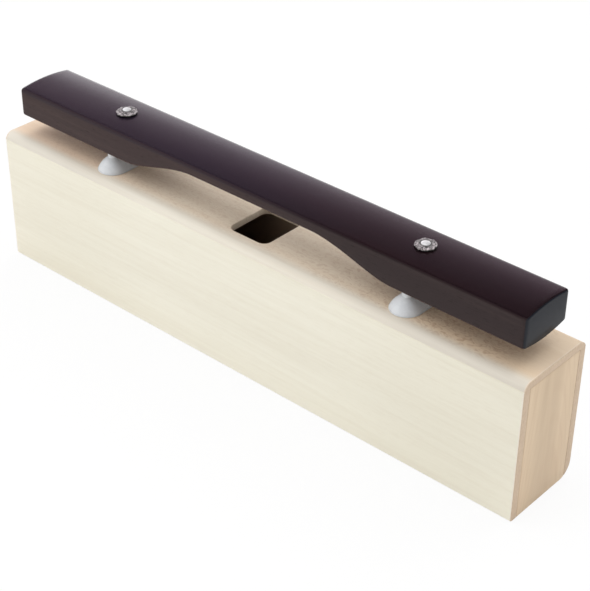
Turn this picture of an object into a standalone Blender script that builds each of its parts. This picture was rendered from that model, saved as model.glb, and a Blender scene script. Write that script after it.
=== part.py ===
# Resonator bar: a tuned hardwood bar that lies on two cushions over a closed wooden box.
# Metres, +Z up. X runs along the bar, the front is at -Y, and the box stands on Z = 0.

import math

import bmesh
import bpy
from mathutils import Matrix, Vector

# Outside of the box
BOX_LENGTH = 0.4273
BOX_WIDTH = 0.0592
BOX_HEIGHT = 0.0956
TOP_EDGE_RADIUS = 0.0060
BACK_FOOT_RADIUS = 0.0100
FRONT_FOOT_RADIUS = 0.0015

# Panels of the box
WALL = 0.0056
TOP_PLATE = 0.0046
END_PANEL = 0.0080
BOTTOM_PLATE = 0.0040
BLOCK_LENGTH = 0.0300
BLOCK_HEIGHT = 0.0220

# Sound hole in the top plate
HOLE_LENGTH = 0.0310
HOLE_WIDTH = 0.0357
HOLE_RADIUS = 0.0055

# Tone bar: height at its sides, crown above them, belly below them
BAR_LENGTH = 0.4091
BAR_WIDTH = 0.0410
BAR_SIDE = 0.0196
BAR_CROWN = 0.0019
BAR_BELLY = 0.0024
BAR_EASE = 0.0010
NODE_SPAN = 0.2435

# Tuning arch under the bar: wood left at its middle, length of its level part
ARCH_WAIST = 0.0063
ARCH_LEVEL = 0.0950

# Cushions
CUSHION_LENGTH = 0.0482
CUSHION_WIDTH = 0.0194
CUSHION_RIDGE = 0.0060
CUSHION_HEIGHT = 0.0109
CUSHION_LIP = 0.0012
CUSHION_SHOULDER = 0.0100
CUSHION_BULGE = 2.1

# Pins, sleeves and washers
PIN_RADIUS = 0.00125
PIN_BITE = 0.0172
PIN_POINT = 0.0040
HEAD_RADIUS = 0.0030
HEAD_RIM = 0.0005
HEAD_DOME = 0.0016
SLEEVE_WALL = 0.0006
WASHER_RADIUS = 0.0069
WASHER_THICK = 0.0020
WASHER_DISH = 0.0005
WASHER_EASE = 0.0004

# Clearances: glued or resting faces, bar round its sleeves, bar below its washers
SEAM = 0.0003
BAR_SLACK = 0.0006
BAR_LIFT = 0.0006

# Segments of small arcs, of round pieces and of the arch's two slopes
ARC_STEPS = 6
CROWN_STEPS = 12
ROUND_STEPS = 24
SLOPE_STEPS = 14

# How far a cutter reaches past what it cuts
REACH = 0.0050

# Levels and places that follow from the sizes above
INNER_HALF = BOX_WIDTH / 2 - WALL - SEAM
PLATE_UNDERSIDE = BOX_HEIGHT - TOP_PLATE
PANEL_TOP = PLATE_UNDERSIDE - SEAM
CUSHION_FOOT = BOX_HEIGHT + SEAM
BELLY_LEVEL = CUSHION_FOOT + CUSHION_HEIGHT + SEAM
SIDE_FOOT = BAR_BELLY
SIDE_TOP = SIDE_FOOT + BAR_SIDE
BAR_TOP = SIDE_TOP + BAR_CROWN
WASHER_LEVEL = BELLY_LEVEL + BAR_TOP + BAR_LIFT
HEAD_LEVEL = WASHER_LEVEL + WASHER_THICK - WASHER_DISH + SEAM
PIN_TIP = PANEL_TOP - PIN_BITE
SLEEVE_BORE = PIN_RADIUS + SEAM
SLEEVE_RADIUS = SLEEVE_BORE + SLEEVE_WALL
PIN_BORE = PIN_RADIUS + SEAM
NODES = {"left": -NODE_SPAN / 2, "right": NODE_SPAN / 2}
ARCH_START = NODE_SPAN / 2
ARCH_SLOPE = ARCH_START - ARCH_LEVEL / 2


def clear_scene():
    for obj in list(bpy.data.objects):
        bpy.data.objects.remove(obj, do_unlink=True)


def make_material(name, colour, roughness, metallic=0.0):
    material = bpy.data.materials.new(name)
    material.use_nodes = True
    shader = material.node_tree.nodes["Principled BSDF"]
    shader.inputs["Base Color"].default_value = (*colour, 1.0)
    shader.inputs["Roughness"].default_value = roughness
    shader.inputs["Metallic"].default_value = metallic
    return material


def make_mesh(name, bm):
    bmesh.ops.remove_doubles(bm, verts=bm.verts, dist=1e-6)
    bmesh.ops.recalc_face_normals(bm, faces=bm.faces)
    mesh = bpy.data.meshes.new(name)
    bm.to_mesh(mesh)
    bm.free()
    return mesh


def make_object(name, mesh, place, material):
    obj = bpy.data.objects.new(name, mesh)
    obj.location = place
    if not mesh.materials:
        mesh.materials.append(material)
    bpy.context.scene.collection.objects.link(obj)
    return obj


def make_cutter(name, bm, place=(0, 0, 0)):
    obj = bpy.data.objects.new(name, make_mesh(name, bm))
    obj.location = place
    obj.hide_render = True
    obj.display_type = "WIRE"
    bpy.context.scene.collection.objects.link(obj)
    return obj


def combine(obj, tool, operation):
    modifier = obj.modifiers.new(tool.name, "BOOLEAN")
    modifier.operation = operation
    modifier.solver = "EXACT"
    modifier.object = tool


def shade_round(mesh):
    mesh.shade_smooth()
    mesh.set_sharp_from_angle(angle=math.radians(35))


def arc(centre, radius, start, end, steps=ARC_STEPS):
    """Points on a circle from one angle to another, in degrees."""
    angles = [math.radians(start + (end - start) * i / steps) for i in range(steps + 1)]
    return [(centre[0] + radius * math.cos(a), centre[1] + radius * math.sin(a)) for a in angles]


def rounded_rectangle(low, high, radii):
    """Corners in turn: low low, high low, high high, low high."""
    inwards = [(1, 1), (-1, 1), (-1, -1), (1, -1)]
    points = []
    for turn, ((du, dv), radius) in enumerate(zip(inwards, radii)):
        u = low[0] if du > 0 else high[0]
        v = low[1] if dv > 0 else high[1]
        start = 180 + 90 * turn
        points += arc((u + du * radius, v + dv * radius), radius, start, start + 90)
    return points


def prism(points, sweep):
    """A solid from an outline of 3-D points, swept along a vector."""
    bm = bmesh.new()
    face = bm.faces.new([bm.verts.new(point) for point in points])
    swept = bmesh.ops.extrude_face_region(bm, geom=[face])["geom"]
    bmesh.ops.translate(bm, vec=sweep, verts=[v for v in swept if isinstance(v, bmesh.types.BMVert)])
    return bm


def block(low, high):
    bm = bmesh.new()
    low = Vector(low)
    high = Vector(high)
    place = Matrix.Translation((low + high) / 2) @ Matrix.Diagonal((*(high - low), 1.0))
    bmesh.ops.create_cube(bm, size=1.0, matrix=place)
    return bm


def rod(radius, low, high):
    bm = bmesh.new()
    place = Matrix.Translation((0, 0, (low + high) / 2))
    bmesh.ops.create_cone(
        bm,
        cap_ends=True,
        segments=ROUND_STEPS,
        radius1=radius,
        radius2=radius,
        depth=high - low,
        matrix=place,
    )
    return bm


def turned(profile, closed):
    """A solid of revolution about Z from (radius, height) points."""
    bm = bmesh.new()
    verts = [bm.verts.new((radius, 0, height)) for radius, height in profile]
    pairs = list(zip(verts, verts[1:]))
    if closed:
        pairs.append((verts[-1], verts[0]))
    edges = [bm.edges.new(pair) for pair in pairs]
    bmesh.ops.spin(
        bm,
        geom=verts + edges,
        cent=(0, 0, 0),
        axis=(0, 0, 1),
        angle=math.tau,
        steps=ROUND_STEPS,
        use_merge=True,
    )
    return bm


def smoothstep(t):
    t = min(max(t, 0.0), 1.0)
    return t * t * (3 - 2 * t)


def bow(height, samples, level):
    """A shallow circular arc across the bar's width, bulging by a height from a level."""
    half = BAR_WIDTH / 2
    radius = (half * half + height * height) / (2 * abs(height))
    side = math.copysign(1, height)
    offsets = [half - 2 * half * i / samples for i in range(samples + 1)]
    return [(y, level + height - side * (radius - math.sqrt(radius * radius - y * y))) for y in offsets]


def box_envelope():
    """The whole outside of the box, which trims its panels."""
    outline = rounded_rectangle(
        (-BOX_WIDTH / 2, 0),
        (BOX_WIDTH / 2, BOX_HEIGHT),
        (FRONT_FOOT_RADIUS, BACK_FOOT_RADIUS, TOP_EDGE_RADIUS, TOP_EDGE_RADIUS),
    )
    points = [(-BOX_LENGTH / 2, y, z) for y, z in outline]
    return make_cutter("box_envelope", prism(points, (BOX_LENGTH, 0, 0)))


def make_panel(name, material, envelope, x_span, y_span, z_span):
    """A board between three pairs of limits, cut to the outside of the box."""
    low, high = zip(x_span, y_span, z_span)
    obj = make_object(name, make_mesh(name, block(low, high)), (0, 0, 0), material)
    combine(obj, envelope, "INTERSECT")
    return obj


def make_box(pale_wood, end_wood, inner_wood):
    envelope = box_envelope()
    past_end = BOX_LENGTH / 2 + REACH
    past_side = BOX_WIDTH / 2 + REACH
    inside_wall = BOX_WIDTH / 2 - WALL
    inside_end = BOX_LENGTH / 2 - END_PANEL
    plate_end = inside_end - SEAM

    long_span = (-past_end, past_end)
    between_walls = (-INNER_HALF, INNER_HALF)
    under_plate = (-REACH, PANEL_TOP)
    make_panel("front_wall", pale_wood, envelope, long_span, (-past_side, -inside_wall), under_plate)
    make_panel("back_wall", pale_wood, envelope, long_span, (inside_wall, past_side), under_plate)
    make_panel("left_end_panel", end_wood, envelope, (-past_end, -inside_end), between_walls, under_plate)
    make_panel("right_end_panel", end_wood, envelope, (inside_end, past_end), between_walls, under_plate)
    make_panel(
        "bottom_plate", inner_wood, envelope, (-plate_end, plate_end), between_walls, (-REACH, BOTTOM_PLATE)
    )
    return make_panel(
        "top_plate",
        pale_wood,
        envelope,
        long_span,
        (-past_side, past_side),
        (PLATE_UNDERSIDE, BOX_HEIGHT + REACH),
    )


def cut_sound_hole(top_plate):
    outline = rounded_rectangle(
        (-HOLE_LENGTH / 2, -HOLE_WIDTH / 2), (HOLE_LENGTH / 2, HOLE_WIDTH / 2), (HOLE_RADIUS,) * 4
    )
    points = [(x, y, PLATE_UNDERSIDE - REACH) for x, y in outline]
    hole = make_cutter("sound_hole", prism(points, (0, 0, TOP_PLATE + 2 * REACH)))
    combine(top_plate, hole, "DIFFERENCE")


def make_pin_block(side, x, material):
    """Wood block under the top plate, bored for the pin from above."""
    name = f"{side}_pin_block"
    half = BLOCK_LENGTH / 2
    body = block((-half, -INNER_HALF, PANEL_TOP - BLOCK_HEIGHT), (half, INNER_HALF, PANEL_TOP))
    obj = make_object(name, make_mesh(name, body), (x, 0, 0), material)
    pilot = rod(PIN_BORE, PIN_TIP - SEAM, PANEL_TOP + REACH)
    combine(obj, make_cutter(f"{side}_pilot_hole", pilot, (x, 0, 0)), "DIFFERENCE")


def bar_section():
    """Outline of the bar across its length, with its foot at the lowest point of the belly."""
    crown = bow(BAR_CROWN, CROWN_STEPS, SIDE_TOP)
    belly = bow(-BAR_BELLY, CROWN_STEPS, SIDE_FOOT)
    return crown + belly[::-1]


def arch_height(x):
    """Height of the arch above the foot of the bar, at a place along it."""
    top = SIDE_TOP - ARCH_WAIST
    return -SEAM + (top + SEAM) * smoothstep((ARCH_START - abs(x)) / ARCH_SLOPE)


def make_tone_bar(material):
    section = bar_section()
    bm = prism([(-BAR_LENGTH / 2, y, z) for y, z in section], (BAR_LENGTH, 0, 0))
    mesh = make_mesh("tone_bar", bm)
    shade_round(mesh)
    bar = make_object("tone_bar", mesh, (0, 0, BELLY_LEVEL), material)
    ease = bar.modifiers.new("eased_edges", "BEVEL")
    ease.width = BAR_EASE
    ease.segments = 2
    ease.limit_method = "ANGLE"
    ease.angle_limit = math.radians(30)

    rise = [-ARCH_START + ARCH_SLOPE * i / SLOPE_STEPS for i in range(SLOPE_STEPS + 1)]
    stations = rise + [-x for x in rise[::-1]]
    past_side = BAR_WIDTH / 2 + REACH
    outline = [(x, -past_side, arch_height(x)) for x in stations]
    outline += [(ARCH_START, -past_side, -REACH), (-ARCH_START, -past_side, -REACH)]
    arch = make_cutter("tuning_arch", prism(outline, (0, 2 * past_side, 0)), bar.location)
    combine(bar, arch, "DIFFERENCE")
    for side, x in NODES.items():
        bore = rod(SLEEVE_RADIUS + BAR_SLACK, -REACH, BAR_TOP + REACH)
        combine(bar, make_cutter(f"{side}_bar_bore", bore, (x, 0, BELLY_LEVEL)), "DIFFERENCE")


def cushion_ring(bm, half_width, height):
    """One level of the cushion: a circle whose two halves are drawn apart across the bar."""
    place = Matrix.Translation((0, 0, height)) @ Matrix.Rotation(math.pi / ROUND_STEPS, 4, "Z")
    ring = bmesh.ops.create_circle(bm, segments=ROUND_STEPS, radius=half_width, matrix=place)["verts"]
    apart = (CUSHION_LENGTH - CUSHION_WIDTH) / 2
    for vert in ring:
        vert.co.y += math.copysign(apart, vert.co.y)
    return ring


def make_cushion(side, x, material, belly):
    """Elastic support across the bar: wide lip, domed flanks and a narrow ridge that follows the belly."""
    wide = CUSHION_WIDTH / 2
    narrow = CUSHION_RIDGE / 2
    levels = [(wide, 0.0)]
    for i in range(ARC_STEPS + 1):
        t = i / ARC_STEPS
        half_width = narrow + (wide - narrow) * (1 - t**CUSHION_BULGE)
        levels.append((half_width, CUSHION_LIP + (CUSHION_SHOULDER - CUSHION_LIP) * t))
    levels.append((narrow, CUSHION_HEIGHT + BAR_BELLY + REACH))
    bm = bmesh.new()
    rings = [cushion_ring(bm, half_width, height) for half_width, height in levels]
    loops = [[edge for edge in bm.edges if all(v in ring for v in edge.verts)] for ring in rings]
    for lower, upper in zip(loops, loops[1:]):
        bmesh.ops.bridge_loops(bm, edges=lower + upper)
    bm.faces.new(rings[0])
    bm.faces.new(rings[-1])
    name = f"{side}_cushion"
    mesh = make_mesh(name, bm)
    shade_round(mesh)
    cushion = make_object(name, mesh, (x, 0, CUSHION_FOOT), material)
    combine(cushion, belly, "DIFFERENCE")
    bore = rod(SLEEVE_RADIUS + SEAM, -REACH, CUSHION_HEIGHT + REACH)
    combine(cushion, make_cutter(f"{side}_cushion_bore", bore, cushion.location), "DIFFERENCE")


def belly_cutter():
    """The underside of the bar, lowered by a seam, which shapes the tops of the cushions."""
    belly = bow(-BAR_BELLY, CROWN_STEPS, SIDE_FOOT)
    past_side = CUSHION_LENGTH + BAR_WIDTH / 2
    high = BAR_TOP + REACH
    wings = [(past_side, SIDE_FOOT), (past_side, high), (-past_side, high), (-past_side, SIDE_FOOT)]
    points = [(-BAR_LENGTH / 2, y, z) for y, z in belly[::-1] + wings]
    return make_cutter("belly_seat", prism(points, (BAR_LENGTH, 0, 0)), (0, 0, BELLY_LEVEL - SEAM))


def make_pin(side, x, material):
    """Pin with a domed head and a tapered point. Its origin is under its head."""
    dome_radius = (HEAD_RADIUS**2 + HEAD_DOME**2) / (2 * HEAD_DOME)
    dome_centre = (0, HEAD_RIM + HEAD_DOME - dome_radius)
    rim_angle = math.degrees(math.atan2(dome_radius - HEAD_DOME, HEAD_RADIUS))
    tip = PIN_TIP - HEAD_LEVEL
    profile = arc(dome_centre, dome_radius, 90, rim_angle)
    profile += [(HEAD_RADIUS, 0), (PIN_RADIUS, 0), (PIN_RADIUS, tip + PIN_POINT), (0, tip)]
    name = f"{side}_pin"
    mesh = make_mesh(name, turned(profile, closed=False))
    shade_round(mesh)
    make_object(name, mesh, (x, 0, HEAD_LEVEL), material)


def make_washer(side, x, material):
    """Round washer with eased rims, pressed in a little under the pin's head."""
    inner = PIN_BORE
    dish_edge = HEAD_RADIUS + WASHER_EASE
    top = WASHER_THICK
    rim = WASHER_RADIUS - WASHER_EASE
    profile = [(inner, 0)]
    profile += arc((rim, WASHER_EASE), WASHER_EASE, -90, 0, 3)
    profile += arc((rim, top - WASHER_EASE), WASHER_EASE, 0, 90, 3)
    profile += [(dish_edge + WASHER_DISH, top), (dish_edge, top - WASHER_DISH), (inner, top - WASHER_DISH)]
    name = f"{side}_felt_washer"
    mesh = make_mesh(name, turned(profile, closed=True))
    shade_round(mesh)
    make_object(name, mesh, (x, 0, WASHER_LEVEL), material)


def make_sleeve(side, x, material):
    """Thin tube round the pin, from the top plate to just under the washer."""
    height = WASHER_LEVEL - SEAM - CUSHION_FOOT
    profile = [(SLEEVE_BORE, 0), (SLEEVE_RADIUS, 0), (SLEEVE_RADIUS, height), (SLEEVE_BORE, height)]
    name = f"{side}_sleeve"
    mesh = make_mesh(name, turned(profile, closed=True))
    shade_round(mesh)
    make_object(name, mesh, (x, 0, CUSHION_FOOT), material)


def main():
    clear_scene()
    pale_wood = make_material("pale_wood", (0.78, 0.70, 0.54), 0.55)
    end_wood = make_material("end_wood", (0.72, 0.54, 0.38), 0.60)
    inner_wood = make_material("inner_wood", (0.62, 0.50, 0.34), 0.70)
    dark_wood = make_material("dark_wood", (0.040, 0.026, 0.034), 0.35)
    white_rubber = make_material("white_rubber", (0.78, 0.80, 0.83), 0.50)
    grey_felt = make_material("grey_felt", (0.36, 0.34, 0.35), 0.95)
    bright_steel = make_material("bright_steel", (0.80, 0.80, 0.80), 0.20, 1.0)
    clear_plastic = make_material("clear_plastic", (0.70, 0.70, 0.68), 0.40)

    top_plate = make_box(pale_wood, end_wood, inner_wood)
    cut_sound_hole(top_plate)
    make_tone_bar(dark_wood)
    belly = belly_cutter()
    for side, x in NODES.items():
        plate_bore = rod(PIN_BORE, PLATE_UNDERSIDE - REACH, BOX_HEIGHT + REACH)
        combine(top_plate, make_cutter(f"{side}_plate_bore", plate_bore, (x, 0, 0)), "DIFFERENCE")
        make_pin_block(side, x, inner_wood)
        make_cushion(side, x, white_rubber, belly)
        make_sleeve(side, x, clear_plastic)
        make_washer(side, x, grey_felt)
        make_pin(side, x, bright_steel)


main()
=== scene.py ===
import math

import bmesh
import bpy
from mathutils import Matrix, Vector, noise


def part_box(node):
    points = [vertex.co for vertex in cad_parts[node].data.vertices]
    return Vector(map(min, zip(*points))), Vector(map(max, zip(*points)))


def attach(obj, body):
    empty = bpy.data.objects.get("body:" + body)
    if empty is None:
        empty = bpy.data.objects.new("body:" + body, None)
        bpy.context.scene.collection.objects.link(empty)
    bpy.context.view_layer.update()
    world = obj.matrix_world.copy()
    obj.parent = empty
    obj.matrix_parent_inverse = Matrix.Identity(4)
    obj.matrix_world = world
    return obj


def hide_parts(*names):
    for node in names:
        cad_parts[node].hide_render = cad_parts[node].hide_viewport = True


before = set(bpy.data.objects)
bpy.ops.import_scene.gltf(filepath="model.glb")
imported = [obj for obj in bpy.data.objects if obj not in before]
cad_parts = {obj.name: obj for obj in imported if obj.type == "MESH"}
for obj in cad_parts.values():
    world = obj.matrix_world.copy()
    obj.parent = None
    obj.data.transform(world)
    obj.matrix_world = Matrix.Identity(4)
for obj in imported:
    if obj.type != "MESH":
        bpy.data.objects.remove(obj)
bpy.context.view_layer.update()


class Sock:
    # one socket of a material, on which values are added, multiplied and so on
    def __init__(self, finish, socket):
        self.finish = finish
        self.socket = socket

    def maths(self, operation, *values):
        return self.finish.node("Math", {"operation": operation}, dict(enumerate(values)))

    def __add__(self, other):
        return self.maths("ADD", self, other)

    def __radd__(self, other):
        return self.maths("ADD", other, self)

    def __sub__(self, other):
        return self.maths("SUBTRACT", self, other)

    def __rsub__(self, other):
        return self.maths("SUBTRACT", other, self)

    def __mul__(self, other):
        return self.maths("MULTIPLY", self, other)

    def __rmul__(self, other):
        return self.maths("MULTIPLY", other, self)

    def __pow__(self, other):
        return self.maths("POWER", self, other)

    def __abs__(self):
        return self.maths("ABSOLUTE", self)

    def sine(self):
        return self.maths("SINE", self)

    def orMore(self, other):
        return self.maths("MAXIMUM", self, other)


class Finish:
    # a material, or the world, whose nodes are made one call at a time
    def __init__(self, name, holder=None):
        self.holder = holder or bpy.data.materials.new(name)
        self.holder.use_nodes = True
        self.tree = self.holder.node_tree
        self.tree.nodes.clear()

    def node(self, kind, settings=None, sockets=None, out=0):
        made = self.tree.nodes.new("ShaderNode" + kind)
        for key, value in (settings or {}).items():
            if key == "stops":
                while len(made.color_ramp.elements) < len(value):
                    made.color_ramp.elements.new(0.5)
                for element, (place, colour) in zip(made.color_ramp.elements, value):
                    element.position = place
                    element.color = (*colour, 1.0)
            else:
                setattr(made, key, value)
        for key, value in (sockets or {}).items():
            if isinstance(value, Sock):
                self.tree.links.new(value.socket, made.inputs[key])
            else:
                made.inputs[key].default_value = value
        return Sock(self, made.outputs[out]) if made.outputs else None

    def place(self, scale=(1, 1, 1), shift=(0, 0, 0)):
        point = self.node("TexCoord", out="Object")
        return self.node("Mapping", None, {"Vector": point, "Location": shift, "Scale": scale})

    def axis(self, name):
        return self.node("SeparateXYZ", None, {"Vector": self.place()}, out=name)

    def facing(self, name):
        normal = self.node("NewGeometry", out="Normal")
        return self.node("SeparateXYZ", None, {"Vector": normal}, out=name)

    def ray(self, kind):
        return self.node("LightPath", out=f"Is {kind} Ray")

    def grain(self, scale, size, detail, rough=0.5, twist=0.0, shift=(0, 0, 0)):
        look = {"Vector": self.place(scale, shift), "Scale": size, "Detail": detail}
        return self.node("TexNoise", None, {**look, "Roughness": rough, "Distortion": twist})

    def ease(self, value, low, high, start=0.0, end=1.0):
        span = {"Value": value, "From Min": low, "From Max": high, "To Min": start, "To Max": end}
        return self.node("MapRange", {"interpolation_type": "SMOOTHSTEP"}, span)

    def tint(self, share, first, second, way="MIX"):
        settings = {"data_type": "RGBA", "blend_type": way, "clamp_factor": True}
        colours = [c if isinstance(c, Sock) else (*c, 1.0) for c in (first, second)]
        return self.node("Mix", settings, {0: share, 6: colours[0], 7: colours[1]}, out=2)

    def deepen(self, share, colour, by):
        return self.tint(share, colour, by, "MULTIPLY")

    def bump(self, height, depth, strength):
        return self.node("Bump", None, {"Height": height, "Distance": depth, "Strength": strength})

    def close(self, sockets):
        skin = self.node("BsdfPrincipled", None, sockets)
        self.node("OutputMaterial", None, {"Surface": skin})
        return self.holder


# Sizes of the boards and the bar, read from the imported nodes
wallLow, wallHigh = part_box("front_wall")
plateLow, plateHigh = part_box("top_plate")
barLow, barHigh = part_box("tone_bar")
panelLow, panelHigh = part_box("right_end_panel")
boxLength = wallHigh.x - wallLow.x
boxWidth = -2 * wallLow.y
boxHeight = plateHigh.z
panelIn = boxLength / 2 - (panelHigh.x - panelLow.x)
innerY = boxWidth / 2 - (wallHigh.y - wallLow.y)
plateUnder = plateLow.z
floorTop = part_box("bottom_plate")[1].z
barHalf = (barHigh.y - barLow.y) / 2
nodeX = sum(corner.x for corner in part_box("right_pin")) / 2   # the bar rests this far from its middle

# In every look a grain is its stretch, size and detail, and then roughness, twist and shift where given;
# its values lie round 0.5. A zone is where an effect starts and where it is full, and a relief is its
# depth and strength.
paleLook = {
    "light": (0.918, 0.881, 0.754), "dark": (0.877, 0.833, 0.703), "contrast": (0.36, 0.66),
    "lines": ((0.03, 1, 1), 380, 4, 0.55), "lineShare": 0.55,
    "bands": ((0.10, 1, 1), 45, 2, 0.5, 0.0, (0.3, 0.1, 0.2)),
    "dashes": ((0.20, 1, 1), 620, 2.5, 0.6, 0.0),
    "fleck": (0.785, 0.724, 0.588), "fleckShare": 0.14, "fleckSoft": (0.50, 0.70),
    "fleckFrom": (-0.10, -0.09), "fleckTo": (0.30, 0.25), "fleckSpan": (0.02, 0.14), "fleckGain": (1.0, 1.0),
    # rim, left and right are painted shade: they darken the boards toward both ends, rim on the outer front
    # face and left and right further in
    "middle": (1.0, 1.0, 1.0), "rim": (0.958, 0.952, 0.938), "rimZone": (0.003, 0.012),
    "left": (1.0, 1.0, 1.0), "right": (1.0, 1.0, 1.0), "sideZone": (-0.02, 0.02), "paintedShadeZone": (0.06, 0.16),
    # the foot tint is painted light: it lightens the walls toward the floor, against the shade there
    "foot": (1.055, 1.055, 1.055), "paintedFootLightZone": (0.040, 0.0),
    # the worn tint lightens the eased end edges: partly wear, partly a painted highlight where the rounding
    # catches light
    "worn": (0.900, 0.840, 0.740), "wearAndHighlightShare": 0.6, "wearAndHighlightZone": (0.0013, 0.0007),
    "endLight": (0.727, 0.575, 0.432), "endDark": (0.655, 0.503, 0.368), "endZone": (0.0006, 0.0002),
    "rings": ((0.4, 1, 0.25), 1500, 3, 0.6),
    # the inside colour is painted shade: it darkens the inner faces of the boards
    "insideShade": (0.250, 0.172, 0.115), "insideFade": 0.0003, "insideEnd": 0.0040,
    "roughness": 0.52, "lineRough": 0.16, "endRough": 0.25, "specular": 0.3,
    "dashRelief": 0.6, "relief": (0.00010, 0.3),
}
topLook = {
    **paleLook, "light": (0.862, 0.812, 0.708), "dark": (0.818, 0.755, 0.645),
    "dashes": ((0.60, 1, 1), 300, 1.5, 0.6, 2.0),
    "fleck": (0.560, 0.430, 0.315), "fleckShare": 0.46, "fleckSoft": (0.42, 0.72),
    "fleckFrom": (-0.027, -0.018), "fleckTo": (0.212, 0.175), "fleckGain": (0.55, 1.40),
    # middle warms the plate inward of its front rim: partly the wood's own colour, partly painted warm shade
    # under the bar
    "middle": (1.090, 1.010, 0.930), "rim": (0.870, 0.862, 0.865),
    # left and right here, and rim on the line above, are painted shade that darkens the plate toward both
    # ends
    "left": (0.850, 0.762, 0.715), "right": (0.845, 0.778, 0.712), "worn": (0.800, 0.680, 0.550),
    "underSkin": 0.0001,
}


def paleWood(name, look, insideLevel):
    # long-grained pale wood with end grain at both ends; painted shade darkens its inner faces and its ends,
    # painted light brightens its foot, and its middle is warmer, partly with painted shade
    f = Finish(name)
    x, y, z = (f.axis(way) for way in "XYZ")
    along = abs(x)
    fromEnd = boxLength / 2 - along
    lines = f.grain(*look["lines"])
    dashes = f.grain(*look["dashes"])
    figure = look["lineShare"] * lines + (1 - look["lineShare"]) * f.grain(*look["bands"])
    colour = f.tint(f.ease(figure, *look["contrast"]), look["light"], look["dark"])
    flecks = f.ease(dashes, *look["fleckSoft"]) * f.ease(y, *look["fleckFrom"])
    flecks = flecks * f.ease(along, *look["fleckTo"]) * f.ease(x, *look["fleckSpan"], *look["fleckGain"])
    colour = f.tint(look["fleckShare"] * flecks, colour, look["fleck"])
    inwards = f.ease(y, *(edge - boxWidth / 2 for edge in look["rimZone"]))
    # warmer inward: partly wood colour, partly painted warm shade under the bar
    colour = f.deepen(inwards, colour, look["middle"])
    # painted shade: the boards darken toward both ends
    paintedEndShade = f.tint(f.ease(x, *look["sideZone"]), look["left"], look["right"])
    paintedEndShade = f.tint(inwards, look["rim"], paintedEndShade)
    colour = f.deepen(f.ease(along, *look["paintedShadeZone"]), colour, paintedEndShade)
    # painted light: lighter toward the foot of the walls
    colour = f.deepen(f.ease(z, *look["paintedFootLightZone"]), colour, look["foot"])
    # lighter eased end edges: partly wear, partly painted highlight
    colour = f.tint(look["wearAndHighlightShare"] * f.ease(fromEnd, *look["wearAndHighlightZone"]), colour, look["worn"])
    rings = f.ease(f.grain(*look["rings"]), *look["contrast"])
    atEnd = f.ease(fromEnd, *look["endZone"])
    colour = f.tint(atEnd, colour, f.tint(rings, look["endLight"], look["endDark"]))
    # painted shade on the inner faces
    insideShade = f.ease(abs(y), innerY + look["insideFade"], innerY)
    insideShade = insideShade * f.ease(along, panelIn + look["insideEnd"], panelIn)
    insideShade = insideShade * f.ease(z, insideLevel + look["insideFade"], insideLevel)
    colour = f.tint(insideShade, colour, look["insideShade"])
    gloss = look["roughness"] + look["lineRough"] * (lines - 0.5) + look["endRough"] * atEnd
    relief = f.bump(lines + look["dashRelief"] * dashes, *look["relief"])
    skin = {"Base Color": colour, "Roughness": gloss, "Normal": relief}
    return f.close({**skin, "Specular IOR Level": look["specular"]})


endLook = {
    "light": (0.838, 0.665, 0.476), "dark": (0.766, 0.588, 0.405), "contrast": (0.32, 0.70),
    "lines": ((1, 1, 0.03), 420, 4, 0.55), "lineShare": 0.25, "bands": ((1, 1, 0.10), 110, 2),
    "warp": ((1, 1, 0.4), 60, 2), "crown": 0.0035, "crownHalf": 0.012, "sway": 0.004,
    "climb": 0.024, "swing": 0.9,   # how far apart the arches of the figure are, and how uneven
    "vein": (0.659, 0.480, 0.322), "veinShare": 0.20, "veinEdge": (0.1, 1.0), "veinZone": (0.35, 0.6),
    "heart": (0.880, 0.868, 0.855), "heartMiddle": -0.002, "heartZone": (0.018, 0.004),
    "glue": (0.541, 0.397, 0.270), "glueShare": 0.55, "glueWide": 0.0006,
    # the inside colour is painted shade on the panel's inner face
    "insideShade": (0.250, 0.172, 0.115), "insideFade": 0.0003,
    "roughness": 0.52, "lineRough": 0.16, "specular": 0.3, "relief": (0.00010, 0.3),
}


def endWood(name, look):
    # upright grain with a flat-sawn figure of pointed arches
    f = Finish(name)
    x, y, z = (f.axis(way) for way in "XYZ")
    warp = f.grain(*look["warp"]) - 0.5
    across = (y - look["crown"] + look["sway"] * warp) * (1 / look["crownHalf"])
    arches = z * (1 / look["climb"]) + across * across + look["swing"] * warp
    veins = f.ease((arches * math.tau).sine(), *look["veinEdge"])
    lines = f.grain(*look["lines"])
    bands = f.grain(*look["bands"])
    figure = look["lineShare"] * lines + (1 - look["lineShare"]) * bands
    colour = f.tint(f.ease(figure, *look["contrast"]), look["light"], look["dark"])
    colour = f.deepen(f.ease(abs(y - look["heartMiddle"]), *look["heartZone"]), colour, look["heart"])
    colour = f.tint(look["veinShare"] * veins * f.ease(bands, *look["veinZone"]), colour, look["vein"])
    joint = f.ease(abs(y), innerY - look["glueWide"], innerY)
    joint = joint.orMore(f.ease(z, plateUnder - look["glueWide"], plateUnder))
    colour = f.tint(look["glueShare"] * joint, colour, look["glue"])
    # painted shade on the inner face
    insideShade = f.ease(abs(x), panelIn + look["insideFade"], panelIn)
    colour = f.tint(insideShade, colour, look["insideShade"])
    gloss = look["roughness"] + look["lineRough"] * (lines - 0.5)
    skin = {"Base Color": colour, "Roughness": gloss, "Normal": f.bump(lines, *look["relief"])}
    return f.close({**skin, "Specular IOR Level": look["specular"]})


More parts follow.
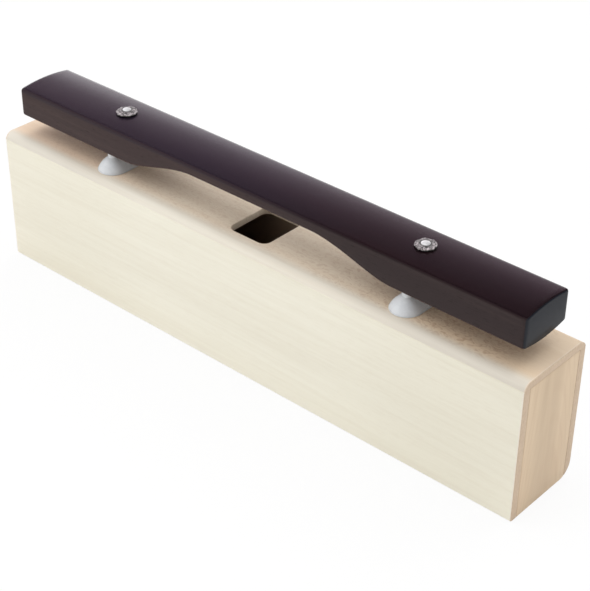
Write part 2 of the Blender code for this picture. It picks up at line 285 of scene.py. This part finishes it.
barLook = {
    # painted shade: the top, side and lip colours darken toward the right end of the bar, the top turning
    # redder there
    "top": (0.0125, 0.0068, 0.0145), "topStreak": (0.0215, 0.0120, 0.0205),
    "topPore": (0.0060, 0.0035, 0.0048), "topFar": (0.74, 0.36, 0.33),
    "side": (0.0530, 0.0345, 0.0340), "sideStreak": (0.0760, 0.0500, 0.0460),
    "sidePore": (0.0260, 0.0180, 0.0170), "sideFar": (0.68, 0.70, 0.72),
    # the blue cast of the end colours is a painted reflection of cool light; their darkness is the end
    # grain's own
    "end": (0.0120, 0.0145, 0.0220), "endPore": (0.0050, 0.0060, 0.0090), "raw": (0.1300, 0.0850, 0.0680),
    "lines": ((0.02, 1, 1), 420, 4, 0.6), "lineShare": 0.6, "bands": ((0.08, 1, 1), 90, 2),
    "pores": ((0.10, 1, 1), 1700, 2), "specks": ((1, 1, 1), 2400, 2, 0.5, 0.0, (0.2, 0.4, 0.1)),
    "streakZone": (0.44, 0.72), "streakShare": 0.6, "poreZone": (0.58, 0.70), "poreShare": 0.5,
    "speckZone": (0.50, 0.66), "paintedShadeZone": (-0.05, 0.11),
    # how far a face has to turn up, to the end, to the side or down to count as one
    "topZone": (0.78, 0.985), "coatZone": (0.90, 0.975), "endZone": (0.40, 0.80), "sideZone": (0.80, 0.96),
    "underZone": (-0.25, -0.60),
    # the top's violet colour runs over the edge onto the sides, further down at the left end; toward the
    # right end it darkens with painted shade
    "lip": (0.0026, 0.0004), "lipZone": (0.1281, 0.1299),
    "lipNear": (0.0370, 0.0245, 0.0300), "lipFar": (0.0180, 0.0105, 0.0120),
    "topCoat": 0.90, "sideCoat": 0.10, "endCoat": 0.24, "coatRoughness": 0.17, "coatIor": 1.70,
    "roughness": 0.55, "lineRough": 0.14, "poreRough": 0.10, "specular": 0.05,
    "poreRelief": 0.8, "relief": (0.00005, 0.3),
}


def barWood(name, look):
    # dark, dense hardwood: oiled to a sheen on top, duller and browner on its sawn sides
    f = Finish(name)
    x, z = f.axis("X"), f.axis("Z")
    upward = f.facing("Z")
    onEnd = f.ease(abs(f.facing("X")), *look["endZone"])
    onSide = f.ease(abs(f.facing("Y")), *look["sideZone"])
    lines = f.grain(*look["lines"])
    pores = f.ease(f.grain(*look["pores"]), *look["poreZone"])
    figure = look["lineShare"] * lines + (1 - look["lineShare"]) * f.grain(*look["bands"])
    streaks = f.ease(figure, *look["streakZone"])
    # painted shade: darker toward the right end
    shadeToRight = f.ease(x, *look["paintedShadeZone"])
    shades = {}
    for face in ("top", "side"):
        colour = f.tint(look["streakShare"] * streaks, look[face], look[face + "Streak"])
        colour = f.tint(look["poreShare"] * pores, colour, look[face + "Pore"])
        shades[face] = f.deepen(shadeToRight, colour, look[face + "Far"])
    colour = f.tint(f.ease(upward, *look["underZone"]), shades["side"], look["raw"])   # sawn underside
    onLip = f.ease(z + f.ease(x, barLow.x, barHigh.x, *look["lip"]), *look["lipZone"])
    # the lip colour darkens toward the right end with painted shade
    colour = f.tint(onLip, colour, f.tint(shadeToRight, look["lipNear"], look["lipFar"]))
    colour = f.tint(f.ease(upward, *look["topZone"]), colour, shades["top"])
    specks = f.ease(f.grain(*look["specks"]), *look["speckZone"])
    # painted reflection: the end colours carry a blue cast
    colour = f.tint(onEnd, colour, f.tint(specks, look["end"], look["endPore"]))
    coat = look["topCoat"] * f.ease(upward, *look["coatZone"])
    coat = coat + look["sideCoat"] * onSide + look["endCoat"] * onEnd
    gloss = look["roughness"] + look["lineRough"] * (lines - 0.5) + look["poreRough"] * pores
    relief = f.bump(lines - look["poreRelief"] * pores, *look["relief"])
    return f.close({
        "Base Color": colour, "Roughness": gloss, "Normal": relief, "Coat Weight": coat,
        "Coat Roughness": look["coatRoughness"], "Coat IOR": look["coatIor"],
        "Specular IOR Level": look["specular"],
    })


cushionLook = {
    "body": (0.715, 0.735, 0.757), "dusk": (0.655, 0.675, 0.697), "contrast": (0.35, 0.7),
    "cloud": ((1, 1, 1), 260, 3), "fine": ((1, 1, 1), 2600, 2),
    "roughness": 0.50, "cloudRough": 0.12, "relief": (0.00004, 0.3),
}


def cushionRubber(name, look):
    f = Finish(name)
    cloud = f.grain(*look["cloud"])
    colour = f.tint(f.ease(cloud, *look["contrast"]), look["body"], look["dusk"])
    gloss = look["roughness"] + look["cloudRough"] * (cloud - 0.5)
    relief = f.bump(f.grain(*look["fine"]), *look["relief"])
    return f.close({"Base Color": colour, "Roughness": gloss, "Normal": relief})


feltLook = {
    "mid": (0.170, 0.148, 0.156), "dark": (0.036, 0.032, 0.034), "contrast": (0.38, 0.62),
    "blotch": ((1, 1, 1), 520, 4, 0.65), "fibre": ((1, 0.6, 1), 1150, 3, 0.6, 1.0),
    "pale": (0.560, 0.505, 0.520), "paleShare": 0.9, "paleZone": (0.50, 0.60), "rimPale": 0.07,
    "rimZone": (0.0048, 0.0066), "edge": (0.135, 0.128, 0.114), "edgeZone": (0.55, 0.10),
    # the dark colour round the pin head is a painted shadow of the head
    "pinShadow": (0.050, 0.051, 0.049), "pinShadowShare": 0.8, "pinShadowZone": (0.0048, 0.0030),
    "roughness": 0.95, "sheen": 0.2, "fibreRelief": 0.7, "relief": (0.0004, 0.8),
}


def feltFibre(name, look):
    # pressed grey felt, mottled, paler round its upper rim and dark on its cut side; painted shadow darkens
    # it round the pin
    f = Finish(name)
    y = f.axis("Y")
    aside = abs(f.axis("X")) - nodeX
    fromPin = (aside * aside + y * y) ** 0.5
    blotch = f.grain(*look["blotch"])
    fibre = f.grain(*look["fibre"])
    colour = f.tint(f.ease(blotch, *look["contrast"]), look["dark"], look["mid"])
    pale = f.ease(fibre + look["rimPale"] * f.ease(fromPin, *look["rimZone"]), *look["paleZone"])
    colour = f.tint(look["paleShare"] * pale, colour, look["pale"])
    # painted shadow round the pin head
    colour = f.tint(look["pinShadowShare"] * f.ease(fromPin, *look["pinShadowZone"]), colour, look["pinShadow"])
    colour = f.tint(f.ease(f.facing("Z"), *look["edgeZone"]), colour, look["edge"])
    relief = f.bump(blotch + look["fibreRelief"] * fibre, *look["relief"])
    skin = {"Base Color": colour, "Roughness": look["roughness"], "Normal": relief}
    return f.close({**skin, "Sheen Weight": look["sheen"]})


pinLook = {
    "bright": (0.900, 0.890, 0.905), "dull": (0.760, 0.750, 0.765), "contrast": (0.4, 0.75),
    "cloud": ((1, 1, 1), 900, 4), "scratch": ((1, 0.05, 1), 4000, 2), "metal": 0.45,
    "roughness": 0.474, "cloudRough": 0.14, "scratchRough": 0.06, "relief": (0.00001, 0.3),
}


def pinSteel(name, look):
    f = Finish(name)
    cloud = f.grain(*look["cloud"])
    scratch = f.grain(*look["scratch"])
    colour = f.tint(f.ease(cloud, *look["contrast"]), look["bright"], look["dull"])
    gloss = look["roughness"] + look["cloudRough"] * (cloud - 0.5) + look["scratchRough"] * (scratch - 0.5)
    relief = f.bump(scratch, *look["relief"])
    return f.close({"Base Color": colour, "Roughness": gloss, "Metallic": look["metal"], "Normal": relief})


innerLook = {
    "light": (0.640, 0.520, 0.370), "dark": (0.520, 0.400, 0.270), "contrast": (0.36, 0.66),
    # the inside colour is painted shade on what faces the inside of the box
    "lines": ((0.05, 1, 1), 300, 4, 0.6), "insideShade": (0.140, 0.100, 0.065), "insideFade": 0.0004,
    "roughness": 0.62, "lineRough": 0.15, "relief": (0.00015, 0.4),
}


def innerWood(name, look, insideLevel):
    # plain wood of the floor and the blocks, darkened with painted shade on what faces the inside
    f = Finish(name)
    lines = f.grain(*look["lines"])
    colour = f.tint(f.ease(lines, *look["contrast"]), look["light"], look["dark"])
    # painted shade on what faces the inside
    insideShade = f.ease(f.axis("Z"), insideLevel - look["insideFade"], insideLevel)
    colour = f.tint(insideShade, colour, look["insideShade"])
    gloss = look["roughness"] + look["lineRough"] * (lines - 0.5)
    return f.close({"Base Color": colour, "Roughness": gloss, "Normal": f.bump(lines, *look["relief"])})


sleeveLook = {
    "milk": (0.720, 0.720, 0.700), "haze": (0.620, 0.620, 0.600), "contrast": (0.35, 0.7),
    "cloud": ((1, 1, 1), 400, 3), "roughness": 0.40, "cloudRough": 0.1,
}


def sleevePlastic(name, look):
    f = Finish(name)
    cloud = f.grain(*look["cloud"])
    colour = f.tint(f.ease(cloud, *look["contrast"]), look["milk"], look["haze"])
    gloss = look["roughness"] + look["cloudRough"] * (cloud - 0.5)
    return f.close({"Base Color": colour, "Roughness": gloss})


finishes = {
    "wall": paleWood("pale_wall_wood", paleLook, boxHeight),
    "plate": paleWood("pale_top_wood", topLook, plateUnder + topLook["underSkin"]),
    "end": endWood("upright_end_wood", endLook),
    "bar": barWood("dark_bar_wood", barLook),
    "cushion": cushionRubber("white_cushion_rubber", cushionLook),
    "felt": feltFibre("grey_washer_felt", feltLook),
    "pin": pinSteel("bright_pin_steel", pinLook),
    "floorBoard": innerWood("plain_floor_wood", innerLook, floorTop / 2),
    "block": innerWood("plain_block_wood", innerLook, 0.0),   # painted inside shade covers the blocks all over
    "sleeve": sleevePlastic("milky_sleeve_plastic", sleeveLook),
}
print("finishes made:", len(finishes))

weld = 1e-7   # points closer than this become one
near = 1e-5   # closer than this counts as on a line or a plane


def finishPiece(name, bm, finish, body, stands, sharp=35):
    bmesh.ops.remove_doubles(bm, verts=bm.verts, dist=weld)
    bmesh.ops.recalc_face_normals(bm, faces=bm.faces)
    mesh = bpy.data.meshes.new(name)
    bm.to_mesh(mesh)
    bm.free()
    mesh.materials.append(finishes[finish])
    mesh.shade_smooth()
    mesh.set_sharp_from_angle(angle=math.radians(sharp))
    piece = bpy.data.objects.new(name, mesh)
    bpy.context.scene.collection.objects.link(piece)
    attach(piece, body)
    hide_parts(stands)
    return piece


def block(low, high):
    # a plain block between two corners
    bm = bmesh.new()
    size = Matrix.Diagonal((*(high - low), 1.0))
    bmesh.ops.create_cube(bm, size=1.0, matrix=Matrix.Translation((low + high) / 2) @ size)
    return bm


def bevelEdges(bm, edges, offset, segments):
    bmesh.ops.bevel(
        bm, geom=edges, offset=offset, offset_type="OFFSET", segments=segments, profile=0.5,
        affect="EDGES", material=-1, clamp_overlap=True,
    )


def sharpEdges(bm, angle):
    return [e for e in bm.edges if e.is_manifold and e.calc_face_angle() > math.radians(angle)]


def longEdges(edges, way, length):
    # those that run further than a length along one way, 0 to 2 for X to Z
    return [e for e in edges if abs(e.verts[0].co[way] - e.verts[1].co[way]) > length]


def cutAcross(bm, point, normal, away=False):
    everything = bm.verts[:] + bm.edges[:] + bm.faces[:]
    return bmesh.ops.bisect_plane(
        bm, geom=everything, dist=weld, plane_co=point, plane_no=normal, clear_outer=away
    )["geom_cut"]


def trim(bm, point, outward):
    rim = [g for g in cutAcross(bm, point, outward, away=True) if isinstance(g, bmesh.types.BMEdge)]
    bmesh.ops.holes_fill(bm, edges=rim, sides=0)


boxLook = {"topRound": 0.0060, "backFoot": 0.0100, "frontFoot": 0.0015, "roundSteps": 12}
boardLook = {
    "joint": 0.00001, "jointEase": 0.00002, "jointSteps": 2, "jointAngle": 60,
    "endEase": 0.0007, "plateEndEase": 0.0011, "endSteps": 3, "endAngle": 40,
}


def boxBlank():
    # the whole outside of the box as one rounded block, from which its boards are cut
    bm = block(Vector((-boxLength / 2, -boxWidth / 2, 0)), Vector((boxLength / 2, boxWidth / 2, boxHeight)))
    corners = [
        (-1, boxHeight, boxLook["topRound"]), (1, boxHeight, boxLook["topRound"]),
        (1, 0.0, boxLook["backFoot"]), (-1, 0.0, boxLook["frontFoot"]),
    ]
    for side, level, radius in corners:
        spot = Vector((side * boxWidth / 2, level))
        edges = [e for e in bm.edges if all((v.co.yz - spot).length < near for v in e.verts)]
        bevelEdges(bm, edges, radius, boxLook["roundSteps"])
    return bm


def easeBoard(bm, endEase):
    # a softer edge round both ends, and a hair's breadth everywhere else
    ends = [e for e in sharpEdges(bm, boardLook["endAngle"])
            if all(abs(abs(v.co.x) - boxLength / 2) < near for v in e.verts)]
    bevelEdges(bm, ends, endEase, boardLook["endSteps"])
    bevelEdges(bm, sharpEdges(bm, boardLook["jointAngle"]), boardLook["jointEase"], boardLook["jointSteps"])


def board(name, cuts, finish, stands):
    bm = boxBlank()
    for point, outward in cuts:
        trim(bm, point, outward)
    easeBoard(bm, boardLook["endEase"])
    finishPiece(name, bm, finish, "base", stands)


panelSide = innerY - boardLook["joint"]
floorEnd = panelIn - boardLook["joint"]
underPlate = [((0, 0, plateUnder - boardLook["joint"]), (0, 0, 1))]
betweenWalls = [((0, -panelSide, 0), (0, -1, 0)), ((0, panelSide, 0), (0, 1, 0))]
board("front_wall_board", underPlate + [((0, -innerY, 0), (0, 1, 0))], "wall", "front_wall")
board("back_wall_board", underPlate + [((0, innerY, 0), (0, -1, 0))], "wall", "back_wall")
for side, way in (("left", -1), ("right", 1)):
    cuts = underPlate + betweenWalls + [((way * panelIn, 0, 0), (-way, 0, 0))]
    board(f"{side}_end_board", cuts, "end", f"{side}_end_panel")
cuts = [((0, 0, floorTop), (0, 0, 1))] + betweenWalls
cuts += [((-floorEnd, 0, 0), (-1, 0, 0)), ((floorEnd, 0, 0), (1, 0, 0))]
board("floor_board", cuts, "floorBoard", "bottom_plate")


holeLook = {
    "length": 0.0310, "width": 0.0357, "radius": 0.0055, "steps": 8, "rimEase": 0.0005, "rimSteps": 3,
    "rimAngle": 40, "around": 0.040, "flat": 0.999, "flatArea": 0.001,
}


def topBoard(look):
    # the plate's middle is cut out above and below, and filled again round the walls of the sound hole
    bm = boxBlank()
    trim(bm, (0, 0, plateUnder), (0, 0, -1))
    for x in (-look["around"], look["around"]):
        cutAcross(bm, (x, 0, 0), (1, 0, 0))
    flats = [
        face for face in bm.faces
        if abs(face.normal.z) > look["flat"] and abs(face.calc_center_median().x) < near
        and face.calc_area() > look["flatArea"]
    ]
    rims = [list(face.edges) for face in flats]
    levels = [face.calc_center_median().z for face in flats]
    bmesh.ops.delete(bm, geom=flats, context="FACES_ONLY")
    middle = Matrix.Translation((0, 0, (boxHeight + plateUnder) / 2))
    size = Matrix.Diagonal((look["length"], look["width"], boxHeight - plateUnder, 1.0))
    tube = bmesh.ops.create_cube(bm, size=1.0, matrix=middle @ size)["verts"]
    walls = [e for e in bm.edges if all(v in tube for v in e.verts)]
    bevelEdges(bm, longEdges(walls, 2, near), look["radius"], look["steps"])
    reach = math.hypot(look["length"], look["width"]) / 2
    caps = [
        face for face in bm.faces
        if abs(face.normal.z) > look["flat"] and all(v.co.xy.length < reach for v in face.verts)
    ]
    for cap in caps:
        level = cap.calc_center_median().z
        rim = min(zip(levels, rims), key=lambda pair: abs(pair[0] - level))[1]
        loop = list(cap.edges)
        bmesh.ops.delete(bm, geom=[cap], context="FACES_ONLY")
        bmesh.ops.triangle_fill(bm, use_beauty=True, use_dissolve=False, edges=rim + loop, normal=(0, 0, 1))
    bmesh.ops.recalc_face_normals(bm, faces=bm.faces)
    lip = [
        e for e in sharpEdges(bm, look["rimAngle"])
        if all(v.co.xy.length < reach and abs(v.co.z - boxHeight) < near for v in e.verts)
    ]
    bevelEdges(bm, lip, look["rimEase"], look["rimSteps"])
    easeBoard(bm, boardLook["plateEndEase"])
    finishPiece("top_board", bm, "plate", "base", "top_plate")


topBoard(holeLook)
print("box boards cut")


toneLook = {
    "crown": 0.0019, "belly": 0.0024, "waist": 0.0072, "level": 0.0950, "archShift": 0.0050,
    "gap": 0.0003, "blend": 0.0016, "blendRise": 3.0,   # how the arch runs into the belly
    "ease": 0.0014, "endEase": 0.0022, "easeSteps": 4, "easeAngle": 60, "softEnd": 0.0030, "softSteps": 6,
    "longSteps": 204, "crossSteps": 24, "bore": 0.00275, "boreSteps": 32,
}


def underside(x, bow, look):
    # height of the sawn underside, where the tuning arch runs into the bowed belly
    away = abs(x - look["archShift"])
    t = min(max((nodeX - away) / (nodeX - look["level"] / 2), 0.0), 1.0)
    top = barHigh.z - barLow.z - look["crown"] - look["waist"]
    arch = -look["gap"] - look["belly"] + (top + look["gap"]) * t * t * (3 - 2 * t)
    belly = -look["belly"] * bow
    blend = look["blend"] * min(look["blendRise"] * t, 1.0)
    return (arch + belly + math.sqrt((arch - belly) ** 2 + blend ** 2)) / 2


def shapeBar(bm, look):
    # bows the top and the underside, carves the tuning arch and rounds the worn left end
    middle = (barLow.z + barHigh.z) / 2
    soft = look["softEnd"]
    for vert in bm.verts:
        bow = 1 - min(abs(vert.co.y) / barHalf, 1.0) ** 2
        if vert.co.z > middle:
            short = max(soft - (vert.co.x - barLow.x), 0.0)
            vert.co.z += look["crown"] * bow - soft + math.sqrt(soft * soft - short * short)
        else:
            vert.co.z += underside(vert.co.x, bow, look)


def toneBar(look):
    bm = block(barLow + Vector((0, 0, look["belly"])), barHigh - Vector((0, 0, look["crown"])))
    for way in (-1, 1):
        end = [e for e in bm.edges if all(way * v.co.x > barHigh.x - near for v in e.verts)]
        bevelEdges(bm, longEdges(end, 2, near), look["endEase"], look["easeSteps"])
    bevelEdges(bm, sharpEdges(bm, look["easeAngle"]), look["ease"], look["easeSteps"])
    for i in range(1, look["softSteps"] + 1):
        reach = look["ease"] + (look["softEnd"] - look["ease"]) * i / look["softSteps"]
        cutAcross(bm, (barLow.x + reach, 0, 0), (1, 0, 0))
    along = longEdges(bm.edges, 0, barHigh.x)
    bmesh.ops.subdivide_edges(bm, edges=along, cuts=look["longSteps"], use_grid_fill=True)
    across = longEdges(bm.edges, 1, barHalf)
    bmesh.ops.subdivide_edges(bm, edges=across, cuts=look["crossSteps"], use_grid_fill=True)
    shapeBar(bm, look)
    return finishPiece("tone_bar_wood", bm, "bar", "bar", "tone_bar", sharp=32)


def cutBores(piece, look):
    # straight holes for the pins and their sleeves, hidden under the washers
    for x in (-nodeX, nodeX):
        bm = bmesh.new()
        place = Matrix.Translation((x, 0, (barLow.z + barHigh.z) / 2))
        bmesh.ops.create_cone(
            bm, cap_ends=True, segments=look["boreSteps"], radius1=look["bore"], radius2=look["bore"],
            depth=2 * (barHigh.z - barLow.z), matrix=place,
        )
        mesh = bpy.data.meshes.new("bore_drill")
        bm.to_mesh(mesh)
        bm.free()
        drill = bpy.data.objects.new("bore_drill", mesh)
        bpy.context.scene.collection.objects.link(drill)
        cut = piece.modifiers.new("bore", "BOOLEAN")
        cut.object = drill
        cut.solver = "EXACT"
        bpy.context.view_layer.update()
        drilled = piece.evaluated_get(bpy.context.evaluated_depsgraph_get())
        cutMesh = bpy.data.meshes.new_from_object(drilled)
        piece.modifiers.clear()
        old = piece.data
        piece.data = cutMesh
        bpy.data.meshes.remove(old)
        bpy.data.objects.remove(drill)
    piece.data.name = piece.name


cutBores(toneBar(toneLook), toneLook)
print("tone bar shaped")


def spun(bm, x, points, steps, closed=False):
    # turns a section of (radius, height) points round an upright line at x
    verts = [bm.verts.new((x + radius, 0, height)) for radius, height in points]
    pairs = list(zip(verts, verts[1:])) + ([(verts[-1], verts[0])] if closed else [])
    edges = [bm.edges.new(pair) for pair in pairs]
    bmesh.ops.spin(
        bm, geom=verts + edges, cent=(x, 0, 0), axis=(0, 0, 1), angle=math.tau, steps=steps, use_merge=True
    )
    bmesh.ops.remove_doubles(bm, verts=bm.verts, dist=weld)


cushionShape = {
    "length": 0.0480, "width": 0.0204, "ridge": 0.0062, "shoulder": 0.0090, "bulge": 1.45, "shift": -0.0008,
    "lip": 0.0007, "lipStep": 0.0004, "lipRound": 0.00016, "lipDraw": 0.00012, "bend": 0.00168,
    "neckFlare": 0.0007, "flareRise": 0.0014, "flareMid": (0.00021, 0.00056),
    "steps": 64, "rise": 14, "crossCuts": 9, "seat": 0.00012, "sink": 0.00025,
}


def cushionProfile(look, foot, top):
    # half of the section across the cushion, from the middle of its foot to the middle of its ridge
    wide = look["width"] / 2
    narrow = look["ridge"] / 2
    step = look["lipStep"]
    lip = foot + look["lip"]
    points = [
        (0, foot), (wide - step, foot), (wide, foot + look["lipRound"]), (wide, lip - look["lipRound"]),
        (wide - look["lipDraw"], lip),
    ]
    for i in range(look["rise"] + 1):
        t = i / look["rise"]
        reach = narrow + (wide - step - narrow) * (1 - t ** look["bulge"])
        points.append((reach, lip + (look["shoulder"] - look["lip"]) * t))
    flare, drop = look["flareMid"]
    points += [(narrow, top - look["flareRise"]), (narrow + flare, top - drop)]
    points += [(narrow + look["neckFlare"], top), (0, top)]
    return points


def cushion(side, x, look):
    x += look["shift"]
    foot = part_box(f"{side}_cushion")[0].z - look["sink"]
    top = barLow.z - look["seat"]
    apart = (look["length"] - look["width"]) / 2
    bm = bmesh.new()
    spun(bm, x, cushionProfile(look, foot, top), look["steps"])
    halfStep = Matrix.Rotation(math.pi / look["steps"], 3, "Z")
    bmesh.ops.rotate(bm, verts=bm.verts, cent=(x, 0, 0), matrix=halfStep)
    for vert in bm.verts:   # the two halves are drawn apart to a long ridge
        if abs(vert.co.y) > near:
            vert.co.y += math.copysign(apart, vert.co.y)
    for i in range(look["crossCuts"]):
        cutAcross(bm, (x, apart * (2 * i / (look["crossCuts"] - 1) - 1), 0), (0, 1, 0))
    for vert in bm.verts:   # the ridge follows the bowed underside of the bar
        share = min(max((vert.co.z - top) / look["bend"] + 1, 0.0), 1.0)
        vert.co.z += share * toneLook["belly"] * min(abs(vert.co.y) / barHalf, 1.0) ** 2
    name = f"{side}_white_cushion"
    piece = finishPiece(name, bm, "cushion", "base", f"{side}_cushion", sharp=40)


headLook = {
    "shank": 0.00125, "reach": 0.0028, "rim": 0.0004, "rimEase": 0.0002, "dome": 0.0009, "domeSteps": 10,
    "steps": 64, "point": 0.0040,
}
washerLook = {
    "inner": 0.0016, "edge": 0.0010, "ease": 0.0002, "dish": 0.0003, "collar": 0.0003, "collarStep": 0.0002,
    "rise": {"left": 0.0020, "right": 0.0015}, "worn": {"left": 0.0, "right": 0.0005},
    "domeSteps": 8, "steps": 120, "fold": 0.0005, "folds": 3.6, "foldShift": 20, "foldRamp": 3,
    "ragged": 0.0006, "cell": 420.0, "fineCell": 1302.0, "fineShare": 0.8, "drawnIn": 0.1,
}


def washer(side, x, look):
    # a pressed pad, thin at its torn rim, that rises in folds to the pin
    low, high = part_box(f"{side}_felt_washer")
    reach = (high.x - low.x) / 2 - look["worn"][side]
    rise = look["rise"][side]
    edge = look["edge"]
    ease = look["ease"]
    collar = headLook["reach"] + look["collar"]
    span = reach - ease - collar
    profile = [(look["inner"], 0), (reach / 2, 0), (reach - ease, 0), (reach, ease), (reach, edge - ease)]
    for i in range(look["domeSteps"] + 1):
        t = i / look["domeSteps"]
        profile.append((reach - ease - span * t, edge + (rise - edge) * math.sin(t * math.pi / 2)))
    seat = rise - look["dish"]
    profile += [(collar - look["collarStep"], seat), (look["inner"], seat)]
    bm = bmesh.new()
    spun(bm, x, [(radius, low.z + height) for radius, height in profile], look["steps"], closed=True)
    for vert in bm.verts:
        away = Vector((vert.co.x - x, vert.co.y, 0))
        outward = away.normalized()
        share = max(0.0, 2 * away.length / reach - 1)
        coarse = noise.noise(vert.co * look["cell"])
        fine = noise.noise(vert.co * look["fineCell"])
        if vert.co.z > low.z + edge - near and away.length > collar - near:
            swell = noise.noise(outward * look["folds"] + Vector((look["foldShift"] * x, 0, 0)))
            vert.co.z += look["fold"] * swell * min(1.0, look["foldRamp"] * (away.length - collar) / span)
        torn = coarse + look["fineShare"] * fine - look["drawnIn"]
        vert.co += outward * torn * look["ragged"] * share
    name = f"{side}_grey_washer"
    finishPiece(name, bm, "felt", "base", f"{side}_felt_washer", sharp=50)


def pin(side, x, look):
    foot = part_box(f"{side}_pin")[0].z
    reach = look["reach"]
    rise = look["dome"]
    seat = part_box(f"{side}_felt_washer")[0].z + washerLook["rise"][side] - washerLook["dish"]
    top = seat + look["rim"] + rise
    profile = [
        (0, foot), (look["shank"], foot + look["point"]), (look["shank"], seat),
        (reach - look["rimEase"], seat), (reach, seat + look["rimEase"]), (reach, seat + look["rim"]),
    ]
    radius = (reach * reach + rise * rise) / (2 * rise)
    start = math.asin(min(reach / radius, 1.0))
    for i in range(1, look["domeSteps"] + 1):
        angle = start * (1 - i / look["domeSteps"])
        profile.append((radius * math.sin(angle), top - radius * (1 - math.cos(angle))))
    bm = bmesh.new()
    spun(bm, x, profile, look["steps"])
    finishPiece(f"{side}_domed_pin", bm, "pin", "base", f"{side}_pin", sharp=50)


for side, x in (("left", -nodeX), ("right", nodeX)):
    cushion(side, x, cushionShape)
    washer(side, x, washerLook)
    pin(side, x, headLook)
    for node, finish in ((f"{side}_pin_block", "block"), (f"{side}_sleeve", "sleeve")):
        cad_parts[node].material_slots[0].material = finishes[finish]
print("cushions, washers and pins made")


viewLook = {
    "lens": 94.81, "sensor": 36.0, "azimuth": 41.3555, "elevation": 33.4249, "roll": 0.5649,
    "distance": 0.968596, "target": (0.0244995, 0.0, 0.0545942), "clip": (0.01, 50.0),
}


def photoCamera(look):
    turn, tilt, roll = (math.radians(look[key]) for key in ("azimuth", "elevation", "roll"))
    back = Vector((math.sin(turn) * math.cos(tilt), -math.cos(turn) * math.cos(tilt), math.sin(tilt)))
    right = Vector((math.cos(turn), math.sin(turn), 0))
    up = back.cross(right)
    rolledRight = math.cos(roll) * right + math.sin(roll) * up
    rolledUp = math.cos(roll) * up - math.sin(roll) * right
    data = bpy.data.cameras.new("photo_camera")
    data.lens = look["lens"]
    data.sensor_width = look["sensor"]
    data.clip_start, data.clip_end = look["clip"]
    camera = bpy.data.objects.new("photo_camera", data)
    spot = Vector(look["target"]) + back * look["distance"]
    turned = Matrix((rolledRight, rolledUp, back)).transposed().to_4x4()
    camera.matrix_world = Matrix.Translation(spot) @ turned
    bpy.context.scene.collection.objects.link(camera)
    bpy.context.scene.camera = camera


photoCamera(viewLook)


keyLook = {
    "spot": (-1.80, -1.04, 3.08), "aim": (0.0, 0.0, 0.06), "size": 2.8, "power": 46.4,
    "colour": (1.0, 0.995, 0.985),
}


def keyLamp(look):
    data = bpy.data.lights.new("key_lamp", "AREA")
    data.size = look["size"]
    data.energy = look["power"]
    data.color = look["colour"]
    lamp = bpy.data.objects.new("key_lamp", data)
    spot = Vector(look["spot"])
    lamp.location = spot
    lamp.rotation_euler = (Vector(look["aim"]) - spot).to_track_quat("-Z", "Y").to_euler()
    lamp.visible_glossy = False   # reflections come from the studio around it
    bpy.context.scene.collection.objects.link(lamp)


keyLamp(keyLook)


worldLook = {
    "white": (1.0, 1.0, 1.0), "fill": 0.15, "tilt": 0.6, "turn": 0.7, "front": (0.15, -0.25),
    "panels": [   # soft white panels round the object: direction, how narrow, level
        ((0.00, 0.57, 0.82), 8, 3.10), ((0.00, -0.57, 0.82), 4, 0.47), ((0.00, 0.94, 0.34), 4, 0.10),
        ((0.50, 0.29, 0.82), 4, 0.15), ((-0.66, -0.66, 0.34), 4, 0.98), ((0.97, 0.00, 0.26), 4, 0.48),
    ],
    "sheen": [   # what a polished top reflects, from the white backdrop up to the dim ceiling
        (0.15, (1.90, 1.80, 1.88)), (0.25, (1.22, 1.15, 1.20)), (0.34, (0.84, 0.75, 0.82)),
        (0.42, (0.44, 0.35, 0.41)), (0.55, (0.32, 0.24, 0.29)), (0.61, (0.20, 0.13, 0.17)),
        (0.75, (0.12, 0.09, 0.11)), (0.90, (0.00, 0.00, 0.00)),
    ],
}


def studioWorld(look):
    # white to the camera; reflections see white low down and in front, and a dim ceiling;
    # everything else is lit by soft fill and the panels
    f = Finish("studio", bpy.data.worlds.new("studio"))
    aim = f.node("TexCoord", out="Generated")
    x, y, z = (f.node("SeparateXYZ", None, {"Vector": aim}, out=way) for way in "XYZ")
    soft = look["fill"]
    for direction, narrow, level in look["panels"]:
        pair = {0: aim, 1: Vector(direction).normalized()}
        toward = f.node("VectorMath", {"operation": "DOT_PRODUCT"}, pair, out="Value")
        soft = soft + level * toward.orMore(0.0) ** narrow
    behind = f.node("ValToRGB", {"stops": look["sheen"]}, {"Fac": z + look["tilt"] * (x + look["turn"])})
    gloss = f.tint(f.ease(y, *look["front"]), behind, look["white"])
    light = f.node("CombineColor", None, {"Red": soft, "Green": soft, "Blue": soft})
    light = f.tint(f.ray("Glossy"), light, gloss)
    light = f.tint(f.ray("Camera").orMore(f.ray("Transmission")), light, look["white"])
    back = f.node("Background", None, {"Color": light, "Strength": 1.0})
    f.node("OutputWorld", None, {"Surface": back})
    bpy.context.scene.world = f.holder


studioWorld(worldLook)


floorLook = {"size": 12.0, "level": -0.0002, "paper": (0.86, 0.86, 0.86), "white": 0.90}


def studioFloor(look):
    # white paper: lit by its own share of white, so that the shadow on it stays faint
    bm = bmesh.new()
    place = Matrix.Translation((0, 0, look["level"]))
    bmesh.ops.create_grid(bm, x_segments=1, y_segments=1, size=look["size"] / 2, matrix=place)
    mesh = bpy.data.meshes.new("studio_floor")
    bm.to_mesh(mesh)
    bm.free()
    f = Finish("studio_paper")
    seen = f.ray("Camera").orMore(f.ray("Glossy")).orMore(f.ray("Transmission"))
    paper = f.node("BsdfDiffuse", None, {"Color": (*look["paper"], 1.0)})
    white = f.node("Emission", None, {"Color": (1.0, 1.0, 1.0, 1.0), "Strength": 1.0})
    mixed = f.node("MixShader", None, {0: seen * look["white"], 1: paper, 2: white})
    f.node("OutputMaterial", None, {"Surface": mixed})
    mesh.materials.append(f.holder)
    floor = bpy.data.objects.new("studio_floor", mesh)
    bpy.context.scene.collection.objects.link(floor)


studioFloor(floorLook)
bpy.context.scene.view_settings.view_transform = "Standard"
print("camera, lamp and floor set")
